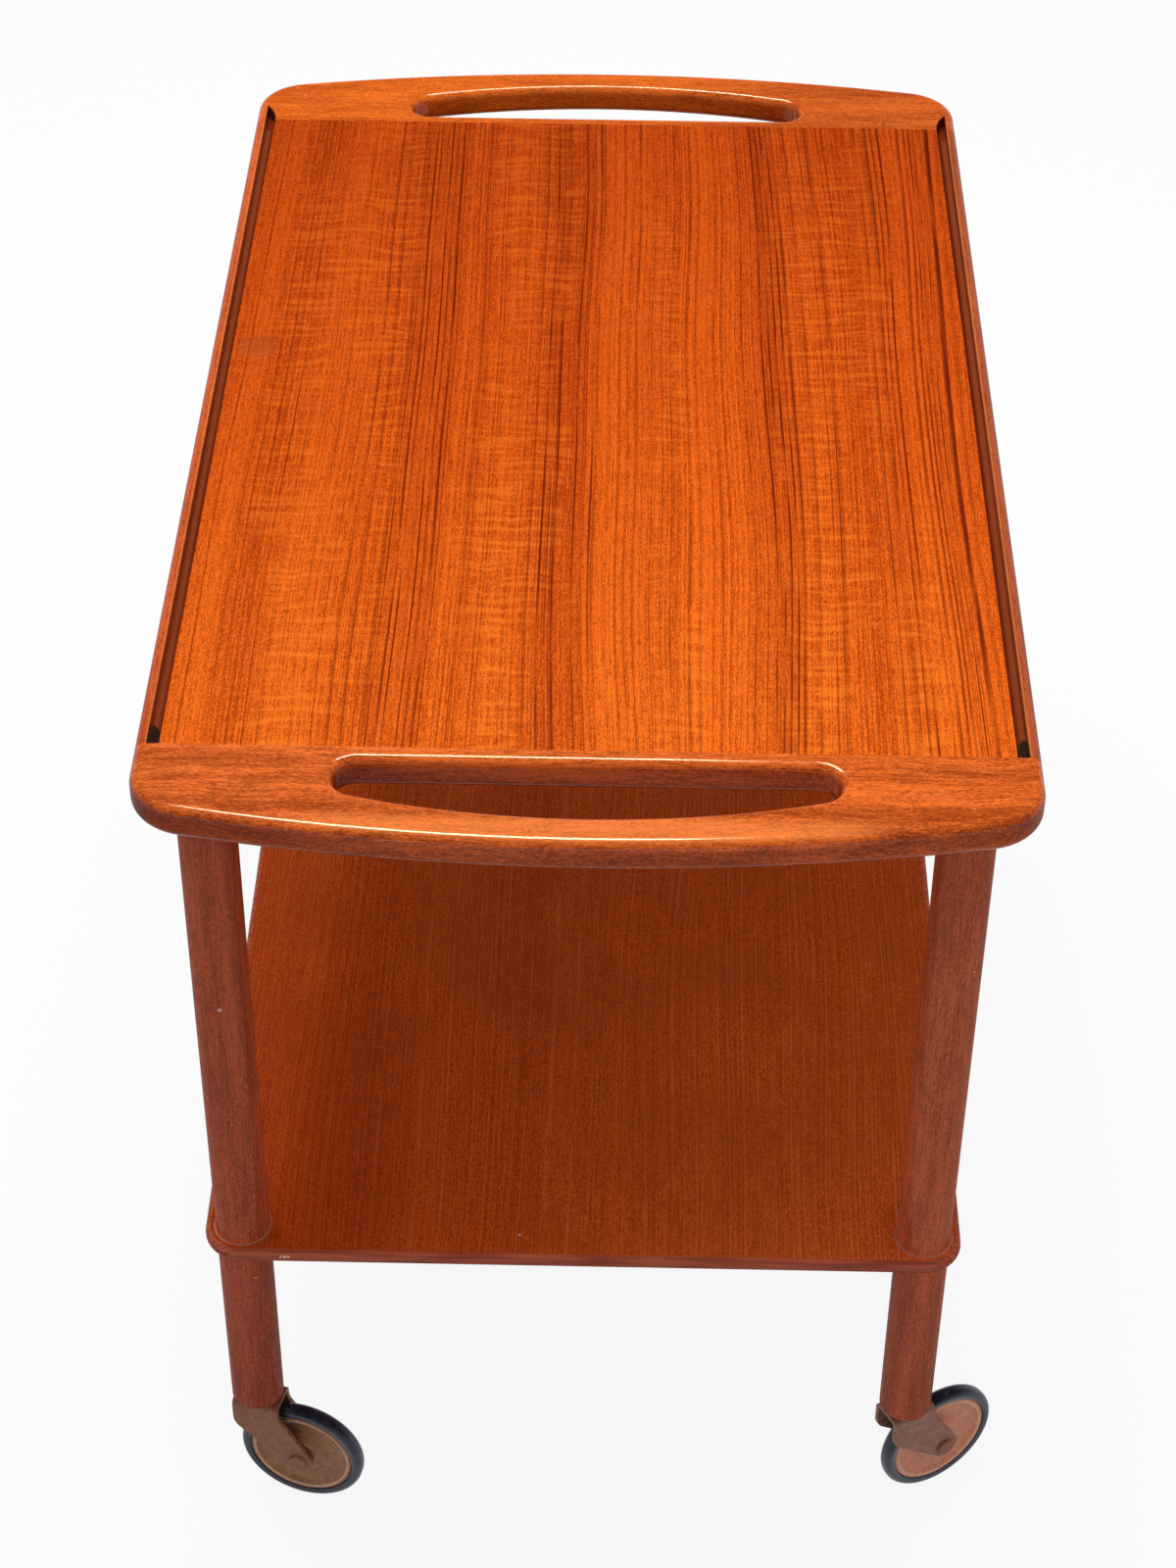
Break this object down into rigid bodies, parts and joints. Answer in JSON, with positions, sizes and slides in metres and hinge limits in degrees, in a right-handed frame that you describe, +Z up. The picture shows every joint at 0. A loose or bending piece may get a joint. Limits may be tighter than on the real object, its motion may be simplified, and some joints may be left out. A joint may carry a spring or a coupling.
{
  "type": "serving trolley",
  "caption": "Two-tier teak serving trolley: flat top with slotted end handles and side grooves, turned legs, lower shelf and swivel casters.",
  "frame": {"origin": "floor level, under the middle of the top", "axes": "+Y along the trolley from the front handle to the rear handle, +X across it to the right, +Z up"},
  "size_m": [0.488, 0.772, 0.556],
  "materials": {
    "top_veneer": "satin lacquered teak veneer, straight grain along the length",
    "handle_teak": "satin lacquered solid teak, grain across the width",
    "rail_teak": "satin lacquered solid teak, grain along the length",
    "groove_wood": "dark stained teak in the side groove",
    "stop_rubber": "dark dull stop",
    "inner_wood": "plain beech, hidden",
    "shelf_veneer": "satin lacquered teak veneer with a rounded solid edge",
    "leg_teak": "satin lacquered turned teak, grain along the leg",
    "socket_steel": "plain pressed steel",
    "stem_steel": "plain turned steel",
    "fork_bronze": "aged bronze lacquer on pressed steel",
    "rivet_steel": "aged steel rivet",
    "bush_steel": "plain turned steel",
    "disc_bronze": "aged bronze lacquer on pressed steel",
    "tyre_rubber": "worn black rubber"
  },
  "bodies": {
    "cart": {"top_panel": "top_veneer", "front_handle": "handle_teak", "rear_handle": "handle_teak", "left_side_rail": "rail_teak", "right_side_rail": "rail_teak", "left_edge_lipping": "groove_wood", "right_edge_lipping": "groove_wood", "left_groove_stop": "stop_rubber", "right_groove_stop": "stop_rubber", "front_tongue": "inner_wood", "rear_tongue": "inner_wood", "edge_dowels": "inner_wood", "leg_dowels": "inner_wood", "lower_shelf": "shelf_veneer", "front_left_upper_leg": "leg_teak", "front_left_lower_leg": "leg_teak", "front_left_caster_socket": "socket_steel", "front_right_upper_leg": "leg_teak", "front_right_lower_leg": "leg_teak", "front_right_caster_socket": "socket_steel", "rear_left_upper_leg": "leg_teak", "rear_left_lower_leg": "leg_teak", "rear_left_caster_socket": "socket_steel", "rear_right_upper_leg": "leg_teak", "rear_right_lower_leg": "leg_teak", "rear_right_caster_socket": "socket_steel"},
    "front_left_swivel": {"front_left_caster_stem": "stem_steel", "front_left_caster_fork": "fork_bronze", "front_left_axle_rivet": "rivet_steel"},
    "front_left_wheel": {"front_left_wheel_bush": "bush_steel", "front_left_wheel_disc_left": "disc_bronze", "front_left_wheel_disc_right": "disc_bronze", "front_left_tyre": "tyre_rubber"},
    "front_right_swivel": {"front_right_caster_stem": "stem_steel", "front_right_caster_fork": "fork_bronze", "front_right_axle_rivet": "rivet_steel"},
    "front_right_wheel": {"front_right_wheel_bush": "bush_steel", "front_right_wheel_disc_left": "disc_bronze", "front_right_wheel_disc_right": "disc_bronze", "front_right_tyre": "tyre_rubber"},
    "rear_left_swivel": {"rear_left_caster_stem": "stem_steel", "rear_left_caster_fork": "fork_bronze", "rear_left_axle_rivet": "rivet_steel"},
    "rear_left_wheel": {"rear_left_wheel_bush": "bush_steel", "rear_left_wheel_disc_left": "disc_bronze", "rear_left_wheel_disc_right": "disc_bronze", "rear_left_tyre": "tyre_rubber"},
    "rear_right_swivel": {"rear_right_caster_stem": "stem_steel", "rear_right_caster_fork": "fork_bronze", "rear_right_axle_rivet": "rivet_steel"},
    "rear_right_wheel": {"rear_right_wheel_bush": "bush_steel", "rear_right_wheel_disc_left": "disc_bronze", "rear_right_wheel_disc_right": "disc_bronze", "rear_right_tyre": "tyre_rubber"}
  },
  "joints": [
    {"name": "front_left_swivel_turn", "type": "hinge", "parent": "cart", "child": "front_left_swivel", "pos_m": [-0.189, -0.336, 0.082], "axis": [0, 0, 1], "continuous": true},
    {"name": "front_left_wheel_roll", "type": "hinge", "parent": "front_left_swivel", "child": "front_left_wheel", "pos_m": [-0.16431, -0.34238, 0.0375], "axis": [0.2504, 0.9681, 0], "continuous": true},
    {"name": "front_right_swivel_turn", "type": "hinge", "parent": "cart", "child": "front_right_swivel", "pos_m": [0.189, -0.336, 0.082], "axis": [0, 0, 1], "continuous": true},
    {"name": "front_right_wheel_roll", "type": "hinge", "parent": "front_right_swivel", "child": "front_right_wheel", "pos_m": [0.21086, -0.32287, 0.0375], "axis": [-0.515, 0.8572, 0], "continuous": true},
    {"name": "rear_left_swivel_turn", "type": "hinge", "parent": "cart", "child": "rear_left_swivel", "pos_m": [-0.189, 0.336, 0.082], "axis": [0, 0, 1], "continuous": true},
    {"name": "rear_left_wheel_roll", "type": "hinge", "parent": "rear_left_swivel", "child": "rear_left_wheel", "pos_m": [-0.21086, 0.32287, 0.0375], "axis": [0.515, -0.8572, 0], "continuous": true},
    {"name": "rear_right_swivel_turn", "type": "hinge", "parent": "cart", "child": "rear_right_swivel", "pos_m": [0.189, 0.336, 0.082], "axis": [0, 0, 1], "continuous": true},
    {"name": "rear_right_wheel_roll", "type": "hinge", "parent": "rear_right_swivel", "child": "rear_right_wheel", "pos_m": [0.16431, 0.34238, 0.0375], "axis": [-0.2504, -0.9681, 0], "continuous": true}
  ]
}
